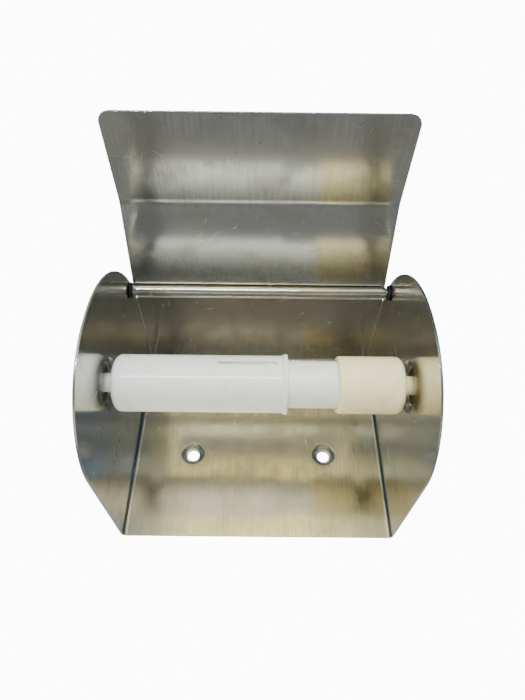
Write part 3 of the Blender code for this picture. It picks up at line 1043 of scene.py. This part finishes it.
@dataclass
class Spindle:
    """The telescopic spindle: sleeve, tube, catch, cap and spring. Sizes in metres."""

    tube_radius: float = 10.35 * MM
    tube_wall: float = 1.5 * MM
    slide_gap: float = 0.35 * MM
    sleeve_wall: float = 1.8 * MM
    end_gap: float = 2.95 * MM
    half_bay: float = 65.0 * MM
    end_wall: float = 2.0 * MM
    end_rounding: float = 3.0 * MM
    pin_radius: float = 4.2 * MM
    bead_height: float = 0.7 * MM
    bead_length: float = 2.2 * MM
    cap_wall: float = 1.95 * MM
    cap_gap: float = 0.3 * MM
    cap_lip: float = 1.5 * MM
    slit_behind_tube: float = 7.0 * MM
    slit_length: float = 25.8 * MM
    slit_width: float = 1.8 * MM
    slit_angle: float = 13.0
    pin_fillet: float = 0.6 * MM
    catch_length: float = 6.4 * MM
    catch_end_gap: float = 0.4 * MM
    catch_height: float = 1.6 * MM
    catch_side_gap: float = 0.3 * MM
    spring_wire: float = 0.5 * MM
    spring_coil: float = 7.0 * MM
    spring_turns: int = 11
    steps: int = 96
    slit_cells: int = 24
    edge: float = 0.15 * MM

    def __post_init__(self) -> None:
        """Works out the places that the spindle's pieces share."""
        self.end = self.half_bay - self.end_gap
        self.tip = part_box("spindle_cap")[1].x
        self.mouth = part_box("spindle_sleeve")[1].x
        self.tube_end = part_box("spindle_tube")[0].x
        self.cap_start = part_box("spindle_cap")[0].x
        self.bore = self.tube_radius + self.slide_gap
        self.radius = self.bore + self.sleeve_wall
        self.slit_start = self.tube_end - self.slit_behind_tube

    def pin_end(self, radius: float) -> Array:
        """Profile of a rounded end with its pin, from the rim to the tip.

        Args:
            radius: Radius of the rim.

        Returns:
            Points of (x, radius), as an (n, 2) array.
        """
        corner = arc((self.end - self.end_rounding, radius - self.end_rounding), self.end_rounding, 90, 0, 13)
        fillet = self.pin_fillet
        neck = arc((self.end + fillet, self.pin_radius + fillet), fillet, 180, 270, 6)
        soft = self.pin_radius / 4
        tip = arc((self.tip - soft, self.pin_radius - soft), soft, 90, 0, 8)
        return np.concatenate([corner, neck, tip, [[self.tip, 0.0]]])

    def sleeve(self, material: Material) -> None:
        """The sleeve, turned about the spindle's axis, with a round-ended slit through its wall.

        Args:
            material: Its material.
        """
        first, last = self.slit_start - 1 * MM, self.slit_start + self.slit_length + 1 * MM
        cells = self.slit_cells
        along = np.linspace(first, last, cells + 1)
        outer = self.pin_end(self.radius)[::-1] * [-1, 1]
        edge = self.bead_height / 2
        half = self.bead_length / 2
        bead = self.radius + self.bead_height
        ridge = arc((self.mouth - half, self.radius), half, 180, 90, 7)
        ridge[:, 1] = self.radius + (ridge[:, 1] - self.radius) * self.bead_height / half
        lip = arc((self.mouth - edge, bead - edge), edge, 90, 0, 5)
        inside = -self.end + self.end_wall
        wall, inner = pairs(along, self.radius), pairs(along[::-1], self.bore)
        chamfer = [[self.mouth, self.bore + 0.3 * MM], [self.mouth - 0.3 * MM, self.bore]]
        closed = [[inside, self.bore], [inside, 0.0]]
        profile = np.concatenate([outer, wall, ridge, lip, chamfer, inner, closed])
        start = math.radians(180 - self.slit_angle)
        step = 2 * math.pi / self.steps
        grid = turned(profile, SPINDLE, self.steps, start - 2 * step)
        outside = (len(outer), len(outer) + cells, 0, 4)
        last_row = len(profile) - len(closed) - 1
        within = (last_row - cells, last_row, 0, 4)
        rims = []
        for gap, radius in ((outside, self.radius), (within, self.bore)):
            rim = cell_rim(grid, gap)
            if gap is within:
                rim = np.roll(rim[::-1], 1 - (gap[1] - gap[0]), axis=0)
            rims.append((rim, self.slot_edge(rim, radius, start, 2 * step)))
        rings = np.stack([rims[0][0], rims[0][1], rims[1][1], rims[1][0]])
        surface = welded(lattice(grid, around=True, gaps=[outside, within]), lattice(rings, around=True))
        nodes = ["spindle_sleeve"]
        settled(
            "spindle_outer_sleeve", surface, material, Body.OUTER, nodes, edge=self.edge
        )

    def slot_edge(self, rim: Array, radius: float, start: float, reach: float) -> Array:
        """Shrinks a rectangular rim on the cylinder to the outline of a round-ended slot.

        On the long sides x is scaled to the straight part of the slot. On the short sides it follows the
        end's half circle: the straight half length plus the root of r squared less t squared.

        Args:
            rim: Points of the rectangle.
            radius: Radius of the cylinder.
            start: Angle of the slot's middle, in radians.
            reach: Half angle of the rectangle, in radians.

        Returns:
            Points of the slot, one for each point of the rim.
        """
        middle = (rim[:, 0].min() + rim[:, 0].max()) / 2
        half = (rim[:, 0].max() - rim[:, 0].min()) / 2
        along = (rim[:, 0] - middle) / half
        angle = np.arctan2(rim[:, 2] - SPINDLE[1], rim[:, 1] - SPINDLE[0]) - start
        angle = (angle + math.pi) % (2 * math.pi) - math.pi
        width = self.slit_width / 2
        t = np.clip(angle / reach, -1, 1) * width
        straight = self.slit_length / 2 - width
        ends = np.sign(along) * (straight + np.sqrt(np.maximum(width**2 - t**2, 0)))
        x = middle + np.where(abs(along) > 0.9999, ends, along * straight)
        return about(SPINDLE, x, radius, start + t / radius)

    def tube(self, material: Material) -> None:
        """The inner tube: a closed inner end, a plain wall and an open end inside the cap.

        Args:
            material: Its material.
        """
        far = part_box("spindle_tube")[1].x
        bore = self.tube_radius - self.tube_wall
        floor = self.tube_end + self.tube_wall
        soft = 0.4 * MM
        rim = arc((self.tube_end + soft, self.tube_radius - soft), soft, 180, 90, 5)
        inner = [[far, self.tube_radius], [far, bore], [floor, bore], [floor, 0]]
        wall = shell(np.concatenate([[[self.tube_end, 0]], rim, inner]), SPINDLE, self.steps)
        nodes = ["spindle_tube"]
        settled("spindle_inner_tube", wall, material, Body.INNER, nodes, edge=self.edge)

    def catch(self, material: Material) -> None:
        """The catch in the slit: a rounded pad, thickest in the middle, that rises from the tube's wall.

        Its height above the tube is the full height times (1 - u to the 6th)(1 - v to the 6th), with u and
        v from -1 to 1 along and across it.

        Args:
            material: Its material.
        """
        length, height = self.catch_length, self.catch_height
        half_width = self.slit_width / 2 - self.catch_side_gap
        centre = self.slit_start + self.slit_length - self.catch_end_gap - length / 2
        u, v = np.meshgrid(np.linspace(-1, 1, 33), np.linspace(-1, 1, 13), indexing="ij")
        root, sunk = self.tube_radius - 0.3 * MM, self.tube_radius - 0.6 * MM
        rise = root + (height + 0.3 * MM) * (1 - u**6) * (1 - v**6)
        turn = math.radians(180 - self.slit_angle) + v * half_width / self.radius
        x = centre + u * length / 2
        top, floor = about(SPINDLE, x, rise, turn), about(SPINDLE, x, sunk, turn)
        whole = (0, 32, 0, 12)
        wall = np.stack([cell_rim(top, whole), cell_rim(floor, whole)])
        surface = welded(lattice(top), lattice(floor), lattice(wall, around=True))
        settled("spindle_tube_catch", surface, material, Body.INNER, [])

    def cap(self, material: Material) -> None:
        """The end cap: a rounded lip round the tube, a plain wall and a rounded end with its pin.

        Args:
            material: Its material.
        """
        bore = self.tube_radius + self.cap_gap
        radius = bore + self.cap_wall
        inside = self.end - self.end_wall
        lip = arc((self.cap_start + self.cap_lip, radius - self.cap_lip), self.cap_lip, 180, 90, 9)
        start = [[inside, 0], [inside, bore], [self.cap_start, bore]]
        wall = shell(np.concatenate([start, lip, self.pin_end(radius)]), SPINDLE, self.steps)
        nodes = ["spindle_cap"]
        settled("spindle_end_cap", wall, material, Body.INNER, nodes, edge=0.12 * MM)

    def spring(self, finish: DrawnSteel) -> Object:
        """The spring: a wire's circle carried along a helix, closed by a point at each end.

        The helix is the axis plus the coil radius times cosine and sine of the turn, and each circle
        stands in the plane of the outward direction and the helix's own side direction.

        Args:
            finish: The wire's finish.

        Returns:
            The spring.
        """
        low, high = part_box("spindle_spring")
        wire, coil, turns = self.spring_wire, self.spring_coil, self.spring_turns
        turn = np.linspace(0, 2 * math.pi * turns, turns * 32 + 1)
        x = np.linspace(low.x + wire, high.x - wire, len(turn))
        out = spread(0.0, np.cos(turn), np.sin(turn))
        slope = (x[-1] - x[0]) / turn[-1]
        tangent = spread(slope, -coil * np.sin(turn), coil * np.cos(turn))
        tangent /= np.linalg.norm(tangent, axis=1)[:, None]
        side = np.cross(tangent, out)
        middle = about(SPINDLE, x, coil, turn)
        round_wire = np.linspace(0, 2 * math.pi, 10, endpoint=False)[None, :, None]
        ring = np.cos(round_wire) * out[:, None] + np.sin(round_wire) * side[:, None]
        ends = [np.repeat(middle[place][None, None], 10, axis=1) for place in (0, -1)]
        grid = np.concatenate([ends[0], middle[:, None] + wire * ring, ends[1]])
        surface = welded(lattice(grid, around=True))
        nodes, material = ["spindle_spring"], finish.material()
        piece = settled("compression_spring", surface, material, Body.OUTER, nodes)
        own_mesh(piece)
        return piece

    def build(self) -> None:
        """Makes every piece of the spindle."""
        white = MouldedPolypropylene("white_moulded_polypropylene", "#e4e8e6", "#d6dad8").material()
        ivory = MouldedPolypropylene("ivory_moulded_polypropylene", "#f0e6b8", "#e2d6a4").material()
        wire = DrawnSteel("hard_drawn_spring_wire")
        self.sleeve(white)
        self.tube(white)
        self.catch(ivory)
        self.cap(ivory)
        self.spring(wire)


# ---- studio


@dataclass(frozen=True)
class Softbox:
    """One rectangular lamp that faces the holder.

    Attributes:
        name: The light's name.
        azimuth: Its direction in plan, in degrees from straight ahead of the holder towards +X.
        elevation: Its height above level, in degrees.
        distance: Its distance from the middle of the holder, in metres.
        size: Its width and height, in metres.
        power: Its power, in watts.
        colour: Its colour.
        mirrored: Whether it shows in polished surfaces.
    """

    name: str
    azimuth: float
    elevation: float
    distance: float
    size: tuple[float, float]
    power: float
    colour: str
    mirrored: bool = False

    def place(self, aim: Array) -> None:
        """Puts the lamp into the scene, turned towards a point.

        Args:
            aim: The point that it faces.
        """
        data = bpy.data.lights.new(self.name, "AREA")
        data.shape = "RECTANGLE"
        data.size, data.size_y = self.size
        data.energy = self.power
        data.color = linear(self.colour)[:3]
        made = bpy.data.objects.new(self.name, data)
        bpy.context.scene.collection.objects.link(made)
        made.visible_glossy = self.mirrored
        made.visible_camera = False
        plan, rise = math.radians(self.azimuth), math.radians(self.elevation)
        back = np.array([math.sin(plan) * math.cos(rise), -math.cos(plan) * math.cos(rise), math.sin(rise)])
        right = np.cross([0, 0, 1], back)
        right /= np.linalg.norm(right)
        turn = np.eye(4)
        turn[:3, :3] = np.column_stack([right, np.cross(back, right), back])
        turn[:3, 3] = aim + back * self.distance
        made.matrix_world = Matrix(turn.tolist())


@dataclass(frozen=True)
class Room:
    """Soft surroundings: one run of tones by height for each quarter, from -1 below to 1 above.

    A bright, slightly warm band runs round the horizon, cooler to the right and dim behind the holder.

    Attributes:
        strength: Brightness of a white tone.
        ahead: Tones in front of the holder.
        left: Tones towards -X.
        right: Tones towards +X.
        behind: Tones on the wall's side.
    """

    strength: float = 3.2
    ahead: Stops = (
        (-1.0, "#787469"), (-0.6, "#5e5a52"), (-0.45, "#63655c"), (-0.3, "#8e9477"),
        (-0.15, "#c2c595"), (0.0, "#e8e7aa"), (0.15, "#f7f0ad"), (0.3, "#e9dc95"),
        (0.42, "#b6a669"), (0.6, "#7e7763"), (1.0, "#3d4156"),
    )
    left: Stops = (
        (-1.0, "#aba89b"), (-0.6, "#4d5553"), (-0.3, "#65747b"), (0.0, "#a0aba8"),
        (0.15, "#a5b0a8"), (0.42, "#889183"), (1.0, "#696e62"),
    )
    right: Stops = (
        (-1.0, "#788181"), (-0.6, "#4a5156"), (-0.3, "#566578"), (0.0, "#788d9e"),
        (0.3, "#3f6c97"), (0.6, "#222c43"), (1.0, "#222531"),
    )
    behind: Stops = (
        (-1.0, "#4d5152"), (-0.86, "#4c525a"), (-0.83, "#5e5d56"), (-0.78, "#535655"),
        (-0.45, "#767474"), (-0.15, "#82878d"), (0.3, "#56595e"), (1.0, "#565959"),
    )


@dataclass
class Studio:
    """Floor, world, lamps and camera. Lengths in metres, angles in degrees."""

    floor_level: float = -0.6
    lens: float = 26.573
    eye: tuple[float, float, float] = (0.00074, -0.25638, -0.12257)
    look_up: float = 37.031
    roll: float = -0.381
    yaw: float = -0.530
    backdrop: float = 12.0
    room: Room = Room()
    lamps: tuple[Softbox, ...] = (
        Softbox("strip_lamp", -7, -8, 1.2, (0.5, 0.02), 6.0, "#fffdf6", mirrored=True),
        Softbox("front_softbox", 0, 25, 1.0, (0.4, 0.4), 4.5, "#d8e6ff"),
        Softbox("right_softbox", 40, 25, 1.0, (0.3, 0.4), 3.5, "#ffe0a8"),
        Softbox("low_softbox", 0, -25, 1.0, (0.4, 0.4), 9.0, "#fffaf0"),
        Softbox("bounce_card", 195, -38, 0.055, (0.11, 0.05), 0.07, "#fff0cc"),
    )

    def camera(self) -> None:
        """The camera, below and in front of the holder, looking up at it."""
        data = bpy.data.cameras.new("camera")
        data.lens = self.lens
        data.sensor_width = 36.0
        data.clip_start = 0.01
        made = bpy.data.objects.new("camera", data)
        made.location = self.eye
        made.rotation_euler = [math.radians(angle) for angle in (90 + self.look_up, self.roll, self.yaw)]
        bpy.context.scene.collection.objects.link(made)
        bpy.context.scene.camera = made

    def floor(self) -> None:
        """A pale floor well below the holder: z = level on a square grid."""
        across = np.linspace(-3, 3, 13)
        piece = made_object("studio_floor", lattice(spread(across, across[:, None], self.floor_level)))
        material, tree, shader, place = blank_material("pale_matt_floor_paint")
        shade = blended(tree, noise(tree, place, 0.125, 3.0), linear("#e6e5e2"), linear("#dcdbd8"))
        feed(tree, shader, Base_Color=shade, Emission_Color=shade, Emission_Strength=1.2, Roughness=0.9)
        piece.visible_glossy = False
        piece.visible_diffuse = False
        piece.visible_shadow = False
        dress(piece, material)

    def world(self) -> None:
        """A plain white backdrop for the camera, over soft surroundings that light the object."""
        world = bpy.data.worlds.new("studio")
        bpy.context.scene.world = world
        world.use_nodes = True
        tree = world.node_tree
        shown = tree.nodes["Background"]
        feed(tree, shown, Color=linear("#ffffff"), Strength=self.backdrop)
        direction = add(tree, "ShaderNodeTexCoord").outputs["Generated"]
        split = add(tree, "ShaderNodeSeparateXYZ", Vector=direction)
        room = self.room
        seen = self.tones(tree, split.outputs["Z"], room.ahead)
        for axis, start, full, stops in (
            ("X", -0.08, -0.32, room.left),
            ("X", 0.08, 0.32, room.right),
            ("Y", -0.1, 0.2, room.behind),
        ):
            share = ranged(tree, split.outputs[axis], start, full)
            seen = blended(tree, share, seen, self.tones(tree, split.outputs["Z"], stops))
        lit = add(tree, "ShaderNodeBackground", Color=seen, Strength=room.strength)
        ray = add(tree, "ShaderNodeLightPath")
        ends = {"_1": lit.outputs["Background"], "_2": shown.outputs["Background"]}
        mixed = add(tree, "ShaderNodeMixShader", _0=ray.outputs["Is Camera Ray"], **ends)
        tree.links.new(mixed.outputs["Shader"], tree.nodes["World Output"].inputs["Surface"])

    def tones(self, tree: Tree, value: Socket, stops: Stops) -> Socket:
        """A run of colours along a value from -1 to 1.

        Args:
            tree: The world's node tree.
            value: The value to read.
            stops: Values and their colours.

        Returns:
            The colour socket.
        """
        ramp = add(tree, "ShaderNodeValToRGB", Fac=ranged(tree, value, -1.0, 1.0))
        elements = ramp.color_ramp.elements
        elements.remove(elements[0])
        elements[0].position = 0.0
        elements[0].color = linear(stops[0][1])
        for place, colour in stops[1:]:
            elements.new((place + 1) / 2).color = linear(colour)
        return ramp.outputs["Color"]

    def build(self) -> None:
        """Sets up the whole studio."""
        self.camera()
        self.floor()
        self.world()
        aim = np.array([0.0, *SPINDLE])
        for lamp in self.lamps:
            lamp.place(aim)


def main() -> None:
    """Builds the holder piece by piece, then the studio round it."""
    logging.basicConfig(level=logging.INFO, format="%(name)s: %(message)s")
    Housing().build(RolledSteel("housing_cold_rolled_stainless", Grain.ALONG_Z))
    Hood().build(RolledSteel("hood_cold_rolled_stainless", Grain.ALONG_Y))
    hinge = Hinge()
    hinge.pin(DrawnSteel("bright_drawn_hinge_rod"))
    nylon = BlackNylon("stamped_black_nylon").material()
    for side in Side:
        hinge.washer(side, nylon)
    Spindle().build()
    Studio().build()


if __name__ == "__main__":
    main()
